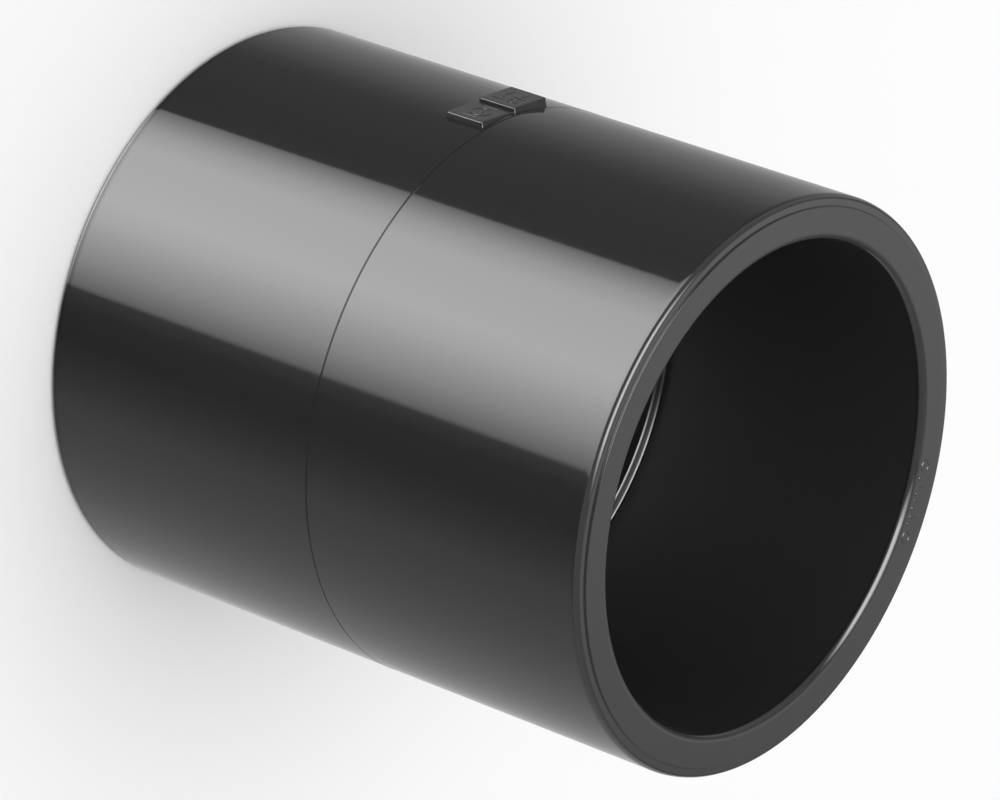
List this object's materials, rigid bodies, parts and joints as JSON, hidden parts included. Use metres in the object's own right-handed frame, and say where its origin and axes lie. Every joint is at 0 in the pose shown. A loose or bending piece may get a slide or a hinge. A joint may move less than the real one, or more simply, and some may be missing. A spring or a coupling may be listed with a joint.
{
  "type": "pvc pipe coupling",
  "caption": "Straight plastic pipe coupling with a plain solvent-cement socket at each end, a central pipe stop and a small two-field marking pad beside the parting line.",
  "frame": {"origin": "centre of the lower end face, where the coupling's axis meets the surface it stands on", "axes": "+Z along the coupling's axis, up through both sockets; the raised marking pad faces -Y; +X completes the right-handed frame"},
  "size_m": [0.0478, 0.0482, 0.055],
  "materials": {
    "dark_pvc": "smooth semi-gloss as moulded, with slightly duller end faces and sockets"
  },
  "bodies": {
    "root": {"coupling_body": "dark_pvc"}
  },
  "joints": []
}
